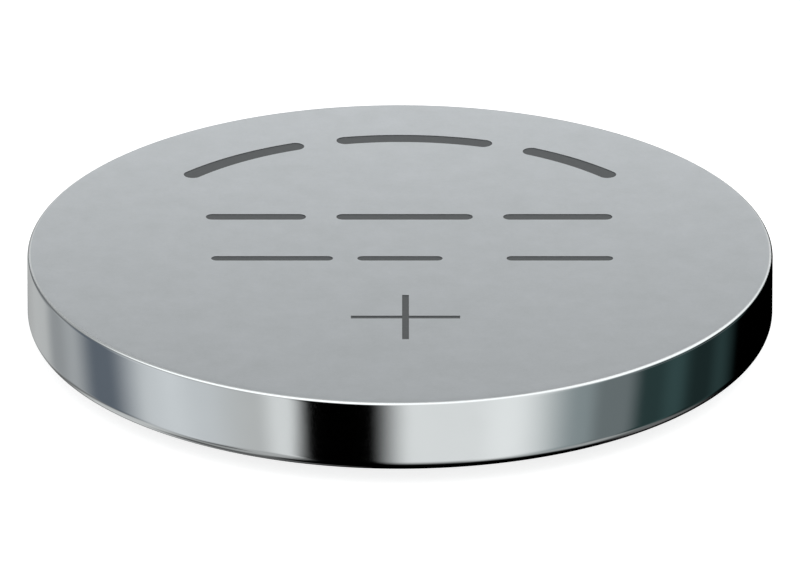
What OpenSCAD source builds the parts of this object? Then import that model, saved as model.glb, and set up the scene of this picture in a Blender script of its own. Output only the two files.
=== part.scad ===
// Lithium coin cell, lying on its negative cap with the positive face up.
// Every piece is a body of revolution about Z. Z = 0 is the negative face.

/* [Cell] */
// Diameter over the side of the can
cell_d = 24.5; // [18:0.1:30]
// Height over the two terminal faces
cell_h = 3.0; // [2.8:0.1:5.4]

/* [Positive can] */
// Thickness of the can's sheet
can_t = 0.25; // [0.2:0.01:0.3]
// Radius of the crisp outer edge round the positive face
can_edge_r = 0.13; // [0.05:0.01:0.2]
// Outer radius of the bend where the can is crimped over
crimp_r = 0.45; // [0.36:0.01:0.52]
// Angle that the sheet turns through in the crimp
crimp_turn = 100; // [90:1:108]
// Length of the straight lip after the bend
crimp_lip = 0.45; // [0.25:0.05:0.6]

/* [Negative cap] */
// Thickness of the cap's sheet
cap_t = 0.25; // [0.2:0.01:0.3]
// How far the negative face stands out beyond the crimp
cap_step = 0.52; // [0.4:0.02:0.7]
// Width of the ledge from the raised face's wall to the outside of the skirt
cap_ledge = 1.45; // [1.2:0.05:2]
// Outer radius at the edge of the negative face
cap_edge_r = 0.4; // [0.3:0.02:0.5]
// Hollow radius where the raised face's wall meets the ledge
cap_root_r = 0.12; // [0.05:0.01:0.2]
// Outer radius where the ledge turns into the skirt
cap_shoulder_r = 0.35; // [0.31:0.01:0.45]
// Gap left inside the fold where the skirt's edge is turned back outwards
hem_gap = 0.04; // [0.02:0.01:0.08]
// Height of the hem's free edge above the end of the shoulder's round
hem_lift = 0.05; // [0.02:0.01:0.3]

/* [Gasket] */
// Thickness squeezed between the can's wall and the cap's hem
gasket_wall = 0.35; // [0.25:0.05:0.5]
// Thickness squeezed between the crimp and the cap's ledge
gasket_seal = 0.3; // [0.25:0.05:0.4]
// Thickness of the foot between the hem's fold and the can
gasket_foot = 0.25; // [0.15:0.05:0.4]
// Thickness of the lip inside the skirt
gasket_lip_t = 0.3; // [0.2:0.05:0.4]
// Room between the lip's free edge and the inside of the cap's ledge
gasket_lip_room = 0.45; // [0.3:0.05:0.8]
// How far the gasket's edge shows inside the crimped lip
gasket_show = 0.12; // [0.05:0.01:0.2]
// Radius on the edge of the gasket that shows
gasket_bead_r = 0.1; // [0.05:0.01:0.12]

/* [Electrodes] */
// Thickness of the lithium disc
lithium_t = 0.55; // [0.3:0.05:0.8]
// Room between the lithium disc and the cap's wall
lithium_room = 0.4; // [0.25:0.05:1]
// Thickness of the separator's cloth
separator_t = 0.25; // [0.1:0.05:0.25]
// Height of the separator's turned-up rim, over its floor
separator_rim_h = 1.1; // [0.8:0.05:1.3]
// Radius where the separator's floor turns into its rim
separator_bend_r = 0.3; // [0.3:0.02:0.36]
// Room between the separator's rim and the cap's wall
separator_room = 0.08; // [0.05:0.01:0.2]
// Room between the cathode pellet and the separator's rim
pellet_room = 0.05; // [0.02:0.01:0.2]
// Bevel on the pellet's two edges
pellet_bevel = 0.1; // [0.08:0.01:0.2]

/* [Collector] */
// Thickness of the expanded-metal collector
collector_t = 0.1; // [0.05:0.01:0.2]
// Room between the collector's edge and the pellet's edge
collector_room = 1; // [0.5:0.1:2]
// Width of the collector's plain border
collector_border = 0.5; // [0.3:0.05:1]
// Length of one diamond opening
diamond_l = 1.9; // [1.5:0.05:2.2]
// Width of one diamond opening
diamond_w = 1; // [0.8:0.05:1.2]
// Width of the strands between the openings
strand_w = 0.22; // [0.15:0.01:0.3]

/* [Hidden] */
$fn = 180;

// The can, inside and out
can_r = cell_d / 2;
can_inner_r = can_r - can_t;
can_inner_z = cell_h - can_t;
crimp_inner_r = crimp_r - can_t;
crimp_x = can_r - crimp_r;
crimp_z = cap_step + crimp_r;
lip_edge_r = crimp_x + crimp_r * cos(crimp_turn) - crimp_lip * sin(crimp_turn);

// The cap, whose skirt stands in the gasket: an inner leg, folded back outwards into a hem
skirt_r = can_inner_r - gasket_wall;
skirt_end_z = can_inner_z - gasket_foot;
fold_outer_r = cap_t + hem_gap / 2;
fold_r = skirt_r - fold_outer_r;
fold_z = skirt_end_z - fold_outer_r;
leg_r = fold_r - hem_gap / 2;
leg_inner_r = leg_r - cap_t;
face_wall_r = skirt_r - cap_ledge;
well_r = face_wall_r - cap_t;
ledge_z = cap_step + can_t + gasket_seal;
ledge_inner_z = ledge_z + cap_t;
hem_end_z = ledge_z + cap_shoulder_r + hem_lift;

// The stack, from the cap up to the can
separator_z = cap_t + lithium_t;
pellet_z = separator_z + separator_t;
collector_z = can_inner_z - collector_t;
separator_r = well_r - separator_room;
pellet_r = separator_r - separator_t - pellet_room;
collector_r = pellet_r - collector_room;

// A block from the axis outwards, its lower outer edge rounded
module round_block(r, low, high, edge_r) {
    translate([0, low + edge_r]) square([r, high - low - edge_r]);
    translate([0, low]) square([r - edge_r, high - low]);
    translate([r - edge_r, low + edge_r]) circle(r = edge_r);
}

// Filled outline of the crimp at one radius about its bend: the bend, and a run longer than the lip
module crimp_form(r) {
    translate([crimp_x, crimp_z]) {
        circle(r = r);
        rotate(-crimp_turn) translate([-crimp_inner_r, -2 * crimp_lip])
            square([crimp_inner_r + r, 2 * crimp_lip]);
    }
}

// Section of the can: the plate with its crisp edge, the wall, and the crimp with its lip cut to length
module can_section() {
    difference() {
        union() {
            translate([0, cell_h]) mirror([0, 1]) round_block(can_r, 0, cell_h - crimp_z, can_edge_r);
            crimp_form(crimp_r);
        }
        translate([0, crimp_z]) square([can_inner_r, can_inner_z - crimp_z]);
        crimp_form(crimp_inner_r);
        translate([crimp_x, crimp_z]) rotate(-crimp_turn) translate([-crimp_r, -3 * crimp_lip])
            square([3 * crimp_r, 2 * crimp_lip]);
    }
}

// The cap's filled outline without its hem, taken in from its outer surface by depth and open upwards
module cap_form(depth) {
    root_r = cap_root_r + depth;
    wall_r = face_wall_r - depth;
    ledge = ledge_z + depth;
    top = fold_z + depth;
    round_block(wall_r, depth, top, cap_edge_r - depth);
    translate([0, ledge - root_r]) difference() {
        square([wall_r + root_r, 2 * root_r]);
        translate([wall_r + root_r, 0]) circle(r = root_r);
    }
    round_block(leg_r - depth, ledge, top, cap_shoulder_r - depth);
}

// Everything within the cap's outer surface, with the hem and its fold
module cap_outline() {
    cap_form(0);
    translate([leg_inner_r, hem_end_z]) square([skirt_r - leg_inner_r, fold_z - hem_end_z]);
    translate([fold_r, fold_z]) circle(r = fold_outer_r);
}

// Section of the cap: one sheet of even thickness, stepped twice and folded back at its edge
module cap_section() {
    difference() {
        cap_outline();
        cap_form(cap_t);
        translate([leg_r, ledge_z]) square([hem_gap, fold_z - ledge_z]);
        translate([fold_r, fold_z]) circle(r = hem_gap / 2);
    }
}

// Section of the gasket: it fills the crimp, lines the can's wall and hooks round the hem's fold
module gasket_section() {
    edge_r = lip_edge_r - gasket_show;
    seal_z = ledge_z - gasket_seal;
    lip_r = leg_inner_r - gasket_lip_t;
    lip_z = ledge_inner_z + gasket_lip_room;
    difference() {
        translate([can_inner_r, 0]) mirror([1, 0])
            round_block(can_inner_r - edge_r, seal_z, can_inner_z, gasket_bead_r);
        cap_outline();
        translate([0, hem_end_z]) square([fold_r, skirt_end_z - hem_end_z]);
        can_section();
    }
    translate([lip_r, skirt_end_z]) square([can_inner_r - lip_r, gasket_foot]);
    difference() {
        translate([lip_r, lip_z]) square([fold_r - lip_r, can_inner_z - lip_z]);
        translate([leg_inner_r, ledge_z]) square([fold_outer_r, fold_z - ledge_z]);
        translate([fold_r, fold_z]) circle(r = fold_outer_r);
    }
}

// Section of the separator: a cloth disc with its rim turned up round the pellet
module separator_section() {
    difference() {
        round_block(separator_r, 0, separator_rim_h, separator_bend_r);
        round_block(
            separator_r - separator_t,
            separator_t,
            2 * separator_rim_h,
            separator_bend_r - separator_t
        );
    }
}

// One diamond opening of the expanded metal
module diamond() {
    polygon([
        [-diamond_l / 2, 0],
        [0, -diamond_w / 2],
        [diamond_l / 2, 0],
        [0, diamond_w / 2]
    ]);
}

// Diamond openings in staggered rows, wherever one lies whole inside the border
module diamonds() {
    step_x = diamond_l + strand_w * diamond_l / diamond_w;
    step_y = (diamond_w + strand_w * sqrt(1 + pow(diamond_w / diamond_l, 2))) / 2;
    mesh_r = collector_r - collector_border;
    rows = floor(mesh_r / step_y);
    columns = floor(mesh_r / step_x) + 1;
    for (row = [-rows:rows], column = [-columns:columns]) {
        x = (column + (row % 2 == 0 ? 0 : 0.5)) * step_x;
        y = row * step_y;
        tip = norm([abs(x) + diamond_l / 2, y]);
        side = norm([x, abs(y) + diamond_w / 2]);
        if (max(tip, side) < mesh_r) translate([x, y]) diamond();
    }
}

module positive_can() {
    color([0.69, 0.71, 0.72]) rotate_extrude() can_section();
}

module negative_cap() {
    color([0.66, 0.67, 0.68]) rotate_extrude() cap_section();
}

module sealing_gasket() {
    color([0.1, 0.1, 0.11]) rotate_extrude() gasket_section();
}

module lithium_anode() {
    color([0.76, 0.76, 0.73])
        translate([0, 0, cap_t]) cylinder(r = well_r - lithium_room, h = lithium_t);
}

module separator_cup() {
    color([0.93, 0.93, 0.9])
        translate([0, 0, separator_z]) rotate_extrude() separator_section();
}

module cathode_pellet() {
    color([0.13, 0.13, 0.14]) translate([0, 0, pellet_z]) rotate_extrude() polygon([
        [0, 0],
        [pellet_r - pellet_bevel, 0],
        [pellet_r, pellet_bevel],
        [pellet_r, collector_z - pellet_z - pellet_bevel],
        [pellet_r - pellet_bevel, collector_z - pellet_z],
        [0, collector_z - pellet_z]
    ]);
}

module cathode_collector() {
    color([0.6, 0.61, 0.62]) translate([0, 0, collector_z])
        linear_extrude(height = collector_t) difference() {
            circle(r = collector_r);
            diamonds();
        }
}

positive_can();
negative_cap();
sealing_gasket();
lithium_anode();
separator_cup();
cathode_pellet();
cathode_collector();
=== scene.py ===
import math

import bmesh
import bpy
from mathutils import Matrix, Vector


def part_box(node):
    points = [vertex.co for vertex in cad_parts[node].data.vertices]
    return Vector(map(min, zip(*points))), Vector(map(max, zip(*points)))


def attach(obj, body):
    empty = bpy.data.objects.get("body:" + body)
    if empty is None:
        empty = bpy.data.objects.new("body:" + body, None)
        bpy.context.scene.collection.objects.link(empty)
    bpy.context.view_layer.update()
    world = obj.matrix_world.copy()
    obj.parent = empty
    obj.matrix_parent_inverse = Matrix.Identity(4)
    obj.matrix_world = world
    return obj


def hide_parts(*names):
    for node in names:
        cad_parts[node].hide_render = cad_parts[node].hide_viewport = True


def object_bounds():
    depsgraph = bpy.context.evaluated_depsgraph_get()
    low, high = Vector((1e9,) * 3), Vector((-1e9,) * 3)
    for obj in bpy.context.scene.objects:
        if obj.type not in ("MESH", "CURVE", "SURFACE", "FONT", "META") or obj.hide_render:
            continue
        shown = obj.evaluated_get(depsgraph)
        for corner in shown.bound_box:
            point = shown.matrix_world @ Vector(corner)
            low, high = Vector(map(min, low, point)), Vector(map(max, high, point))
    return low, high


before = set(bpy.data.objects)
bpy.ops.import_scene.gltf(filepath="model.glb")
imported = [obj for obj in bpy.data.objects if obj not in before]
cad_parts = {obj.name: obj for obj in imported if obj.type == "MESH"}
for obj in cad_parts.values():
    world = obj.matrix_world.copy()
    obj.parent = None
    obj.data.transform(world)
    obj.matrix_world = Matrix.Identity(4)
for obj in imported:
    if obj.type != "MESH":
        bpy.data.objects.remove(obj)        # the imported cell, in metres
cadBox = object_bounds()
mm = 0.001
weld = 0.0001 * mm       # vertices nearer to each other than this are merged
slack = 0.01 * mm        # room given where faces are told apart by their place
print("frame loaded")


# Mesh helpers

def lineTo(bm, tip, radius, height):
    made = bmesh.ops.extrude_vert_indiv(bm, verts=[tip])
    tip = made["verts"][0]
    tip.co = (radius, 0, height)
    return tip


def arcRound(bm, tip, radius, height, degrees, steps):  # clockwise where degrees is positive
    made = bmesh.ops.spin(bm, geom=[tip], cent=(radius, 0, height), axis=(0, 1, 0),
                          angle=math.radians(degrees), steps=steps, use_merge=False)
    return [part for part in made["geom_last"] if isinstance(part, bmesh.types.BMVert)][0]


def spinSection(bm, steps):
    bmesh.ops.spin(bm, geom=bm.verts[:] + bm.edges[:], cent=(0, 0, 0), axis=(0, 0, 1),
                   angle=math.tau, steps=steps, use_merge=True)
    bmesh.ops.remove_doubles(bm, verts=bm.verts, dist=weld)
    rims = [edge for edge in bm.edges if edge.is_boundary]
    bmesh.ops.holes_fill(bm, edges=rims, sides=0)  # the two flat discs
    bmesh.ops.recalc_face_normals(bm, faces=bm.faces)


def steadyOrder(bm):  # the operators leave vertices and faces in an order that changes from run to run
    for parts, place in ((bm.verts, lambda vert: vert.co[:]),
                         (bm.faces, lambda face: face.calc_center_median()[:])):
        rank = {part: number for number, part in enumerate(sorted(parts, key=place))}
        parts.sort(key=rank.get)


def makePiece(name, bm, materials):
    steadyOrder(bm)
    mesh = bpy.data.meshes.new(name)
    bm.to_mesh(mesh)
    bm.free()
    piece = bpy.data.objects.new(name, mesh)
    bpy.context.scene.collection.objects.link(piece)
    for material in materials:
        mesh.materials.append(material)
    return piece


def settleModifiers(piece):
    graph = bpy.context.evaluated_depsgraph_get()
    mesh = bpy.data.meshes.new_from_object(piece.evaluated_get(graph))
    piece.modifiers.clear()
    piece.data = mesh


def smoothMetal(piece, sharpAngle=math.radians(30)):
    piece.data.shade_smooth()
    piece.data.set_sharp_from_angle(angle=sharpAngle)
    weighted = piece.modifiers.new("weightedNormals", "WEIGHTED_NORMAL")
    weighted.mode = "FACE_AREA"
    weighted.keep_sharp = True


# Material helpers

noiseLow = 0.3           # nearly all of a noise lies between these two
noiseHigh = 0.7


def newMaterial(name):
    material = bpy.data.materials.new(name)
    material.use_nodes = True
    return material, material.node_tree, material.node_tree.nodes["Principled BSDF"]


def addNode(tree, kind, values=None, **settings):
    node = tree.nodes.new("ShaderNode" + kind)
    for key, value in settings.items():
        setattr(node, key, value)
    for key, value in (values or {}).items():
        node.inputs[key].default_value = value
    return node


def maths(tree, operation, *values):  # each value is a number or another node's output
    node = addNode(tree, "Math", operation=operation)
    for socket, value in zip(node.inputs, values):
        if isinstance(value, (int, float)):
            socket.default_value = value
        else:
            tree.links.new(value, socket)
    return node.outputs[0]


def millimetreCoords(tree, stretch=(1, 1, 1)):  # object coordinates, counted in millimetres
    coords = addNode(tree, "TexCoord")
    mapping = addNode(tree, "Mapping", {"Scale": Vector(stretch) / mm})
    tree.links.new(coords.outputs["Object"], mapping.inputs["Vector"])
    return mapping.outputs["Vector"]


def noise(tree, coords, scale, detail, roughness=0.5):
    node = addNode(tree, "TexNoise", {"Scale": scale, "Detail": detail, "Roughness": roughness})
    tree.links.new(coords, node.inputs["Vector"])
    return node.outputs["Fac"]


def spread(tree, value, low, high, fromLow=noiseLow, fromHigh=noiseHigh):
    node = addNode(tree, "MapRange", {"From Min": fromLow, "From Max": fromHigh,
                                      "To Min": low, "To Max": high})
    tree.links.new(value, node.inputs["Value"])
    return node.outputs["Result"]


def twoTone(tree, value, dark, light):
    ramp = addNode(tree, "ValToRGB")
    for stop, position, tone in zip(ramp.color_ramp.elements, (noiseLow, noiseHigh), (dark, light)):
        stop.position = position
        stop.color = (*tone, 1)
    tree.links.new(value, ramp.inputs["Fac"])
    return ramp.outputs["Color"]


def dress(tree, shader, finish, tones, grain):  # the colour follows one pattern, the roughness another
    tree.links.new(twoTone(tree, tones, finish["dark"], finish["light"]), shader.inputs["Base Color"])
    tree.links.new(spread(tree, grain, *finish["rough"]), shader.inputs["Roughness"])
    shader.inputs["Metallic"].default_value = finish["metal"]


def bumpFrom(tree, shader, height, depth, strength):
    bump = addNode(tree, "Bump", {"Strength": strength, "Distance": depth})
    tree.links.new(height, bump.inputs["Height"])
    tree.links.new(bump.outputs["Normal"], shader.inputs["Normal"])


# Finishes

finishes = {             # darkest and lightest tone, smoothest and roughest, and the share of metal
    "faceNickel": {"dark": (0.59, 0.615, 0.63), "light": (0.648, 0.672, 0.695),
                   "rough": (0.35, 0.4), "metal": 1},
    "capNickel": {"dark": (0.6, 0.62, 0.63), "light": (0.63, 0.65, 0.66),
                  "rough": (0.28, 0.34), "metal": 1},
    "polishedNickel": {"dark": (0.75, 0.77, 0.775), "light": (0.78, 0.8, 0.805),
                       "rough": (0.05, 0.09), "metal": 1,
                       "dulled": 0.3, "dullFrom": 0.05, "dullTo": 0.01},  # millimetres below the top
    "drawnSteel": {"dark": (0.48, 0.49, 0.5), "light": (0.58, 0.59, 0.6),
                   "rough": (0.3, 0.4), "metal": 1},
    "etchedMark": {"dark": (0.075, 0.08, 0.082), "light": (0.115, 0.12, 0.124),
                   "rough": (0.55, 0.75), "metal": 0.3},
    "gasketPlastic": {"dark": (0.012, 0.012, 0.013), "light": (0.022, 0.022, 0.024),
                      "rough": (0.4, 0.55), "metal": 0},
    "lithiumMetal": {"dark": (0.5, 0.5, 0.47), "light": (0.66, 0.66, 0.64),
                     "rough": (0.35, 0.6), "metal": 1},
    "separatorCloth": {"dark": (0.72, 0.72, 0.69), "light": (0.88, 0.88, 0.85),
                       "rough": (0.75, 0.95), "metal": 0},
    "cathodePowder": {"dark": (0.012, 0.012, 0.013), "light": (0.035, 0.034, 0.034),
                      "rough": (0.6, 0.85), "metal": 0},
}


def satinNickel(name):
    material, tree, shader = newMaterial(name)
    coords = millimetreCoords(tree)
    clouds = noise(tree, coords, scale=0.7, detail=6, roughness=0.8)
    grain = noise(tree, coords, scale=11, detail=3)        # as fine blasting leaves it
    dress(tree, shader, finishes[name], clouds, grain)
    bumpFrom(tree, shader, grain, depth=0.004 * mm, strength=0.6)
    return material


def polishedNickel(top):
    material, tree, shader = newMaterial("polishedNickel")
    finish = finishes["polishedNickel"]
    coords = millimetreCoords(tree)
    clouds = noise(tree, coords, scale=0.5, detail=2)
    grain = noise(tree, coords, scale=18, detail=2)
    ripple = noise(tree, coords, scale=1.4, detail=2)      # the sheet is never quite even after drawing
    dress(tree, shader, finish, clouds, grain)
    # just below the top the polish goes over into the satin face
    height = addNode(tree, "SeparateXYZ")
    tree.links.new(coords, height.inputs[0])
    dulled = spread(tree, height.outputs["Z"], 0, finish["dulled"],
                    fromLow=top - finish["dullFrom"], fromHigh=top - finish["dullTo"])
    roughness = shader.inputs["Roughness"]
    tree.links.new(maths(tree, "ADD", roughness.links[0].from_socket, dulled), roughness)
    bumpFrom(tree, shader, ripple, depth=0.002 * mm, strength=0.25)
    return material


def drawnSteel():
    material, tree, shader = newMaterial("drawnSteel")
    streaks = noise(tree, millimetreCoords(tree, (1, 1, 0.2)), scale=6, detail=3)
    dress(tree, shader, finishes["drawnSteel"], streaks, streaks)
    return material


def etchedMark():
    material, tree, shader = newMaterial("etchedMark")
    grain = noise(tree, millimetreCoords(tree), scale=14, detail=3)
    dress(tree, shader, finishes["etchedMark"], grain, grain)
    bumpFrom(tree, shader, grain, depth=0.006 * mm, strength=0.6)
    return material


def gasketPlastic():
    material, tree, shader = newMaterial("gasketPlastic")
    grain = noise(tree, millimetreCoords(tree), scale=9, detail=2)
    dress(tree, shader, finishes["gasketPlastic"], grain, grain)
    bumpFrom(tree, shader, grain, depth=0.005 * mm, strength=0.3)
    return material


def lithiumMetal():
    material, tree, shader = newMaterial("lithiumMetal")
    coords = millimetreCoords(tree)
    tarnish = noise(tree, coords, scale=0.6, detail=4)
    dents = noise(tree, coords, scale=4, detail=3)
    dress(tree, shader, finishes["lithiumMetal"], tarnish, tarnish)
    bumpFrom(tree, shader, dents, depth=0.02 * mm, strength=0.4)
    return material


def separatorCloth():
    material, tree, shader = newMaterial("separatorCloth")
    along = noise(tree, millimetreCoords(tree, (1, 5, 1)), scale=3, detail=4, roughness=0.7)
    across = noise(tree, millimetreCoords(tree, (5, 1, 1)), scale=3, detail=4, roughness=0.7)
    fibres = maths(tree, "MAXIMUM", along, across)
    nap = noise(tree, millimetreCoords(tree), scale=2, detail=2)
    dress(tree, shader, finishes["separatorCloth"], fibres, nap)
    bumpFrom(tree, shader, fibres, depth=0.03 * mm, strength=0.7)
    return material


def cathodePowder():
    material, tree, shader = newMaterial("cathodePowder")
    grain = noise(tree, millimetreCoords(tree), scale=8, detail=5, roughness=0.7)
    dress(tree, shader, finishes["cathodePowder"], grain, grain)
    bumpFrom(tree, shader, grain, depth=0.03 * mm, strength=0.8)
    return material


faceNickel = satinNickel("faceNickel")
capNickel = satinNickel("capNickel")
brightNickel = polishedNickel(cadBox[1].z / mm)
innerSteel = drawnSteel()
markInk = etchedMark()
print("finishes made")


# Positive can

can = {
    "radius": cadBox[1].x,
    "top": cadBox[1].z,
    "bottom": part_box("positive_can")[0].z,
    "sheet": 0.25 * mm,
    "edge": 0.13 * mm,
    "crimp": 0.45 * mm,
    "turn": 100,             # degrees that the sheet turns through in the crimp
    "lip": 0.45 * mm,
    "edgeSteps": 10,
    "crimpSteps": (16, 8),   # segments of the outer and of the inner surface
    "steps": 360,            # segments round the cell's axis
}


def positiveCan(p):
    inside = p["radius"] - p["sheet"]
    floor = p["top"] - p["sheet"]
    discRadius = p["radius"] - 3 * p["edge"]                # the flat discs end a little inside the rounds
    bendRadius = p["radius"] - p["crimp"]
    bendHeight = p["bottom"] + p["crimp"]
    turn = math.radians(p["turn"])
    outwards = Vector((math.cos(turn), -math.sin(turn)))    # from the bend's centre to its end
    along = Vector((-math.sin(turn), -math.cos(turn)))      # the way the lip runs
    lipEnd = Vector((bendRadius, bendHeight)) + outwards * p["crimp"] + along * p["lip"]
    lipBack = lipEnd - outwards * p["sheet"]
    lipRoot = lipBack - along * p["lip"]
    bm = bmesh.new()
    tip = bm.verts.new((discRadius, 0, p["top"]))
    tip = lineTo(bm, tip, p["radius"] - p["edge"], p["top"])
    tip = arcRound(bm, tip, p["radius"] - p["edge"], p["top"] - p["edge"], 90, p["edgeSteps"])
    tip = lineTo(bm, tip, p["radius"], bendHeight)
    tip = arcRound(bm, tip, bendRadius, bendHeight, p["turn"], p["crimpSteps"][0])
    tip = lineTo(bm, tip, *lipEnd)
    tip = lineTo(bm, tip, *lipBack)
    tip = lineTo(bm, tip, *lipRoot)
    tip = arcRound(bm, tip, bendRadius, bendHeight, -p["turn"], p["crimpSteps"][1])
    tip = lineTo(bm, tip, inside, floor)
    tip = lineTo(bm, tip, discRadius, floor)
    spinSection(bm, p["steps"])
    for face in bm.faces:
        middle = face.calc_center_median()
        if face.normal.z > 0.99 and middle.z > floor:       # the flat positive face
            face.material_index = 0
        elif middle.xy.length < inside + slack and middle.z > lipBack.y + slack:
            face.material_index = 2
        else:
            face.material_index = 1
    return makePiece("canShell", bm, [faceNickel, brightNickel, innerSteel])


marks = {
    "depth": 0.02 * mm,
    "corners": 32,           # of a dash's two round ends together
    "plus": {"x": 0.18 * mm, "y": -5.32 * mm, "arm": 3.57 * mm, "stroke": 0.22 * mm},
    "arch": {
        "radius": 9.35 * mm,
        "stroke": 0.6 * mm,
        "dashes": [(-49, -20), (-13, 19), (26, 49)],       # degrees from +Y towards +X
    },
    "rows": [                                              # dashes in millimetres along X
        {"y": 2.85 * mm, "stroke": 0.46 * mm, "dashes": [(-6.4, -3.1), (-2.1, 2.4), (3.4, 7)]},
        {"y": -0.55 * mm, "stroke": 0.36 * mm, "dashes": [(-6.2, -2.2), (-1.4, 1.4), (3.5, 7)]},
    ],
}


def plusSign(bm, p, base, tall):
    size = (p["stroke"], p["stroke"], tall, 1)
    place = Matrix.Translation((p["x"], p["y"], base + tall / 2)) @ Matrix.Diagonal(size)
    bmesh.ops.create_cube(bm, size=1, matrix=place)
    sides = [face for face in bm.faces if abs(face.normal.z) < 0.5]
    for arm in bmesh.ops.extrude_discrete_faces(bm, faces=sides)["faces"]:
        bmesh.ops.translate(bm, verts=arm.verts, vec=arm.normal * (p["arm"] - p["stroke"]) / 2)


def dash(bm, length, stroke, corners, cuts=0):  # flat bar with round ends, along X about the origin
    others = set(bm.faces)
    halfCorner = Matrix.Rotation(math.pi / corners, 4, "Z")
    made = bmesh.ops.create_circle(bm, cap_ends=True, segments=corners, radius=stroke / 2,
                                   matrix=halfCorner)
    for side in (-1, 1):
        end = [vert for vert in made["verts"] if vert.co.x * side > 0]
        bmesh.ops.translate(bm, verts=end, vec=(side * (length - stroke) / 2, 0, 0))
    if cuts:
        edges = made["verts"][0].link_faces[0].edges
        runs = [edge for edge in edges if edge.calc_length() > (length - stroke) / 2]
        bmesh.ops.subdivide_edges(bm, edges=runs, cuts=cuts)
    return [face for face in bm.faces if face not in others]


def wrapRound(faces, radius, middle):  # bends a flat dash round the cell's axis
    for vert in {vert for face in faces for vert in face.verts}:
        angle = middle + vert.co.x / radius
        reach = radius + vert.co.y
        vert.co = (reach * math.sin(angle), reach * math.cos(angle), 0)


def raised(bm, faces, offset, tall):
    made = bmesh.ops.extrude_face_region(bm, geom=faces)
    lid = [part for part in made["geom"] if isinstance(part, bmesh.types.BMVert)]
    foot = list({vert for face in faces for vert in face.verts})
    bmesh.ops.translate(bm, verts=foot + lid, vec=offset)
    bmesh.ops.translate(bm, verts=lid, vec=(0, 0, tall))


def markCutter(p, top):
    bm = bmesh.new()
    base = top - p["depth"]
    tall = 2 * p["depth"]
    plusSign(bm, p["plus"], base, tall)
    arch = p["arch"]
    for first, last in arch["dashes"]:
        length = arch["radius"] * math.radians(last - first)
        faces = dash(bm, length, arch["stroke"], p["corners"], cuts=last - first)
        wrapRound(faces, arch["radius"], math.radians(first + last) / 2)
        raised(bm, faces, (0, 0, base), tall)
    for row in p["rows"]:
        for left, right in row["dashes"]:
            faces = dash(bm, (right - left) * mm, row["stroke"], p["corners"])
            raised(bm, faces, ((left + right) / 2 * mm, row["y"], base), tall)
    bmesh.ops.recalc_face_normals(bm, faces=bm.faces)
    return makePiece("markCutter", bm, [markInk])


canShell = positiveCan(can)
cutter = markCutter(marks, can["top"])
sink = canShell.modifiers.new("marks", "BOOLEAN")
sink.object = cutter
sink.operation = "DIFFERENCE"
sink.solver = "EXACT"
sink.material_mode = "TRANSFER"
settleModifiers(canShell)
bpy.data.objects.remove(cutter)
smoothMetal(canShell)
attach(canShell, "root")
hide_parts("positive_can")
print("can made", len(canShell.data.polygons), "faces")


# Negative cap

cap = {
    "sheet": 0.25 * mm,
    "face": 10.2 * mm,       # radius of the raised face's wall
    "edge": 0.4 * mm,
    "ledge": 1.07 * mm,      # height of the ledge
    "root": 0.12 * mm,
    "shoulder": 0.35 * mm,
    "skirt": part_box("negative_cap")[1].x,
    "end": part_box("negative_cap")[1].z,
    "hemGap": 0.04 * mm,
    "hemEnd": 1.47 * mm,
    "edgeSteps": (12, 6),    # each bend's segments, on the outer and on the inner surface
    "rootSteps": (8, 8),
    "shoulderSteps": (10, 6),
    "foldSteps": (12, 6),
    "steps": 360,
}


def negativeCap(p):
    sheet = p["sheet"]
    foldRadius = sheet + p["hemGap"] / 2
    foldCentre = p["skirt"] - foldRadius
    foldHeight = p["end"] - foldRadius
    leg = foldCentre - p["hemGap"] / 2
    corner = p["face"] - p["edge"]
    bend = leg - p["shoulder"]
    bendHeight = p["ledge"] + p["shoulder"]
    root = p["face"] + p["root"]
    rootHeight = p["ledge"] - p["root"]
    discRadius = corner - p["edge"]
    bm = bmesh.new()
    tip = bm.verts.new((discRadius, 0, 0))
    tip = lineTo(bm, tip, corner, 0)
    tip = arcRound(bm, tip, corner, p["edge"], -90, p["edgeSteps"][0])
    tip = lineTo(bm, tip, p["face"], rootHeight)
    tip = arcRound(bm, tip, root, rootHeight, 90, p["rootSteps"][0])
    tip = lineTo(bm, tip, bend, p["ledge"])
    tip = arcRound(bm, tip, bend, bendHeight, -90, p["shoulderSteps"][0])
    tip = lineTo(bm, tip, leg, foldHeight)
    tip = arcRound(bm, tip, foldCentre, foldHeight, 180, p["foldSteps"][1])
    tip = lineTo(bm, tip, p["skirt"] - sheet, p["hemEnd"])
    tip = lineTo(bm, tip, p["skirt"], p["hemEnd"])
    tip = lineTo(bm, tip, p["skirt"], foldHeight)
    tip = arcRound(bm, tip, foldCentre, foldHeight, -180, p["foldSteps"][0])
    tip = lineTo(bm, tip, leg - sheet, bendHeight)
    tip = arcRound(bm, tip, bend, bendHeight, 90, p["shoulderSteps"][1])
    tip = lineTo(bm, tip, root, p["ledge"] + sheet)
    tip = arcRound(bm, tip, root, rootHeight, -90, p["rootSteps"][1])
    tip = lineTo(bm, tip, p["face"] - sheet, p["edge"])
    tip = arcRound(bm, tip, corner, p["edge"], 90, p["edgeSteps"][1])
    tip = lineTo(bm, tip, discRadius, sheet)
    spinSection(bm, p["steps"])
    return makePiece("capShell", bm, [capNickel])


capShell = negativeCap(cap)
smoothMetal(capShell)
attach(capShell, "root")
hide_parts("negative_cap")
print("cap made", len(capShell.data.polygons), "faces")


# Pieces that keep their own solids

for nodeName, material in {
    "sealing_gasket": gasketPlastic(),
    "lithium_anode": lithiumMetal(),
    "separator_cup": separatorCloth(),
    "cathode_pellet": cathodePowder(),
    "cathode_collector": innerSteel,
}.items():
    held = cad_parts[nodeName]
    held.data.materials.clear()
    held.data.materials.append(material)
print("inner pieces finished")


# Floor, camera and light

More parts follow.
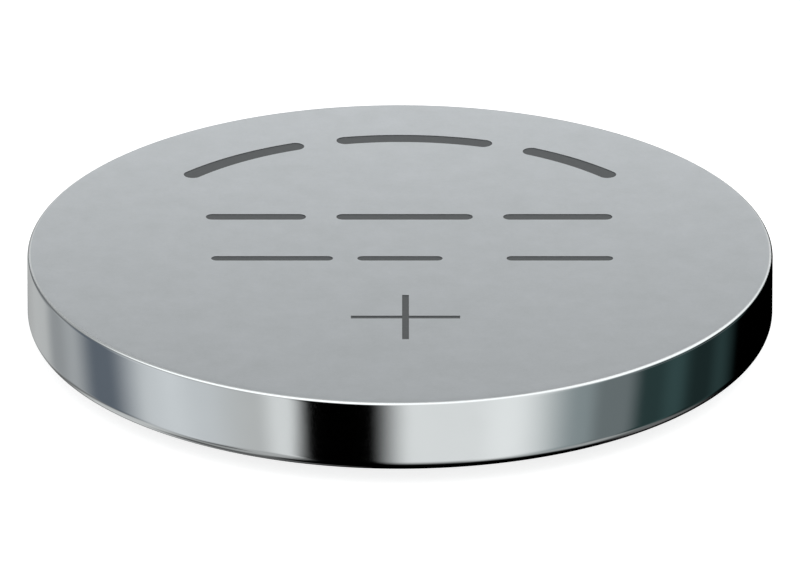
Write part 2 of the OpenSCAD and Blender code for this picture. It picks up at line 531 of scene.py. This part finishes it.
ground = {
    "half": 600 * mm,        # from its middle to its sides
    "below": 0.002 * mm,     # under the cell's own face
    "tone": 0.5,
    "roughness": 0.9,
    "glow": 0.8,             # lit from below, as a light table is
}


def paleFloor(p):
    bm = bmesh.new()
    bmesh.ops.create_grid(bm, x_segments=1, y_segments=1, size=p["half"])
    bmesh.ops.translate(bm, verts=bm.verts, vec=(0, 0, -p["below"]))
    material, tree, shader = newMaterial("paleFloor")
    shader.inputs["Base Color"].default_value = (p["tone"], p["tone"], p["tone"], 1)
    shader.inputs["Roughness"].default_value = p["roughness"]
    shader.inputs["Emission Color"].default_value = (1, 1, 1, 1)
    shader.inputs["Emission Strength"].default_value = p["glow"]
    floor = makePiece("paleFloor", bm, [material])
    floor.visible_glossy = False   # the metal mirrors the studio cards, and not the table


view = {
    "elevation": 23.78,
    "distance": 800 * mm,
    "lens": 1095.5,          # millimetres, on a sensor 36 mm wide
    "drop": 1.147 * mm,      # how far the aim lies below the top face's centre, across the view
    "clip": (0.1, 5),        # metres
}


def makeCamera(p):
    tilt = math.radians(p["elevation"])
    back = Vector((0, -math.cos(tilt), math.sin(tilt)))
    up = Vector((0, math.sin(tilt), math.cos(tilt)))
    aim = Vector((0, 0, can["top"])) - up * p["drop"]
    camera = bpy.data.objects.new("camera", bpy.data.cameras.new("camera"))
    camera.data.lens = p["lens"]
    camera.data.clip_start, camera.data.clip_end = p["clip"]
    camera.location = aim + back * p["distance"]
    camera.rotation_euler = (-back).to_track_quat("-Z", "Y").to_euler()
    bpy.context.scene.collection.objects.link(camera)
    bpy.context.scene.camera = camera


tints = {
    "plain": (0.98, 1, 1),
    "cool": (0.96, 1, 1.03),
    "slate": (0.85, 1, 1.2),
    "cold": (0.88, 1.03, 1.06),
    "teal": (0.55, 1.05, 1.05),
}

# Cards of the studio, each laid over the ones before it: azimuth from, to and softness of the edge,
# elevation from, to and softness, all in degrees, then brightness and tint. Azimuth 0 is the camera's
# side and grows towards +X.
cards = [
    ("room", -400, 400, 1, -200, 200, 1, 0.43, "plain"),
    ("ceiling", -112, 150, 24, 30, 120, 18, 1.4, "plain"),
    ("right ceiling", 88, 154, 16, 19, 60, 12, 1.3, "plain"),
    ("left wall", -190, -95, 16, -14, 20, 16, 0.18, "cool"),
    ("table", -400, 400, 1, -120, -15, 14, 0.12, "plain"),
    ("table under the strip", -104, -50, 12, -69, -55, 10, 0.38, "plain"),
    ("table on the left", -165, -88, 30, -54, -37, 10, 0.62, "plain"),
    ("table shade", -400, 400, 1, -120, -73, 6, 0, "plain"),
    ("left end", -210, -130, 10, -29, -6, 10, 0.45, "plain"),
    ("left end, lighter", -160, -130, 16, -29, -6, 10, 0.54, "plain"),
    ("left grey", -139.5, -105, 10, -30, 0, 10, 0.35, "cool"),
    ("left grey, lighter", -127, -100, 10, -30, 0, 10, 0.43, "cool"),
    ("slate panel", -115, -80, 14, -34, 14, 10, 0.15, "slate"),
    ("left strip", -84, -20, 10, -39, 12, 14, 0.56, "plain"),
    ("left softbox", -92.5, -55, 20, -43, 12, 14, 0.665, "cool"),
    ("left softbox centre", -80.5, -69.5, 12, -43, 12, 14, 0.735, "cool"),
    ("left strip edge", -41, -20, 8, -58, 16, 16, 0.8, "plain"),
    ("table by the gap", -61, -38, 10, -58, -38, 10, 0.47, "plain"),
    ("table by the gap, lower", -77, -48, 12, -70, -56, 8, 0.46, "plain"),
    ("right table", -33, 190, 6, -120, -30, 20, 0, "plain"),
    ("shade under the gap", -80, 190, 16, -120, -66, 8, 0, "plain"),
    ("dark gap", -31, 10, 8, -120, 26, 10, 0, "plain"),
    ("foot of the gap", -38, 10, 8, -120, -45, 12, 0, "plain"),
    ("foot of the gap, wider", -48, 10, 8, -120, -58, 10, 0, "plain"),
    ("right softbox", -2.5, 70, 14, -52, 46, 40, 0.86, "plain"),
    ("right softbox centre", 27, 60, 10, -50, 46, 40, 0.935, "plain"),
    ("right falloff", 46, 100, 24, -54, 24, 30, 0.3, "cold"),
    ("right grey", 62, 100, 8, -48, 10, 14, 0.185, "cold"),
    ("right dark", 77.5, 150, 9, -46, 15, 14, 0.045, "teal"),
    ("right dark, lighter", 90, 98.5, 8, -46, 14, 14, 0.068, "teal"),
    ("right dark, darker", 101, 113.5, 8, -46, 15, 14, 0.024, "teal"),
    ("right glow", 66, 120, 30, -15, -6, 6, 0.17, "cold"),
    ("right black", 123.5, 181, 12, -120, 10, 14, 0, "plain"),
    ("table edge", 60, 94, 40, -59, -40, 10, 0.42, "plain"),
    ("table edge end", 94, 137, 30, -56, -40, 10, 0.165, "plain"),
]


def studioWorld():
    world = bpy.data.worlds.new("studio")
    bpy.context.scene.world = world
    world.use_nodes = True
    tree = world.node_tree

    def within(distance, width, soft):  # 1 inside, fading to 0 over the soft edge
        half = width / 2
        edge = addNode(tree, "MapRange", {"From Min": half - soft / 2, "From Max": half + soft / 2,
                                          "To Min": 1, "To Max": 0}, interpolation_type="SMOOTHSTEP")
        tree.links.new(distance, edge.inputs["Value"])
        return edge.outputs["Result"]

    coords = addNode(tree, "TexCoord")
    parts = addNode(tree, "SeparateXYZ")
    tree.links.new(coords.outputs["Generated"], parts.inputs[0])
    x, y, z = parts.outputs
    azimuth = maths(tree, "MULTIPLY", maths(tree, "ARCTAN2", x, maths(tree, "MULTIPLY", y, -1)),
                    math.degrees(1))
    elevation = maths(tree, "MULTIPLY", maths(tree, "ARCSINE", z), math.degrees(1))
    seen = None
    for name, left, right, sideSoft, low, high, heightSoft, bright, tint in cards:
        turned = maths(tree, "SUBTRACT", azimuth, (left + right) / 2)
        aside = maths(tree, "ABSOLUTE", maths(tree, "WRAP", turned, 180, -180))
        above = maths(tree, "ABSOLUTE", maths(tree, "SUBTRACT", elevation, (low + high) / 2))
        mask = maths(tree, "MULTIPLY", within(aside, right - left, sideSoft),
                     within(above, high - low, heightSoft))
        shown = [bright * part for part in tints[tint]]
        mix = addNode(tree, "MixRGB", {"Color2": (*shown, 1)}, name=name)
        tree.links.new(mask, mix.inputs["Fac"])
        if seen:
            tree.links.new(seen, mix.inputs["Color1"])
        seen = mix.outputs["Color"]
    tree.links.new(seen, tree.nodes["Background"].inputs["Color"])


backLight = {
    "width": 80 * mm,
    "height": 18 * mm,
    "away": 50 * mm,         # behind the cell's axis
    "middle": 18 * mm,       # height of its middle over the floor
    "power": 0.0032,         # in watts
}


def makeBackLight(p):  # a low strip light behind the cell: the far side of the top face is the brighter
    light = bpy.data.lights.new("backLight", "AREA")
    light.shape = "RECTANGLE"
    light.size = p["width"]
    light.size_y = p["height"]
    light.energy = p["power"]
    lamp = bpy.data.objects.new("backLight", light)
    lamp.location = (0, p["away"], p["middle"])
    lamp.rotation_euler = (math.radians(90), 0, math.pi)
    lamp.visible_camera = False
    bpy.context.scene.collection.objects.link(lamp)


paleFloor(ground)
makeCamera(view)
studioWorld()
makeBackLight(backLight)
bpy.context.scene.view_settings.view_transform = "Standard"
print("studio set")
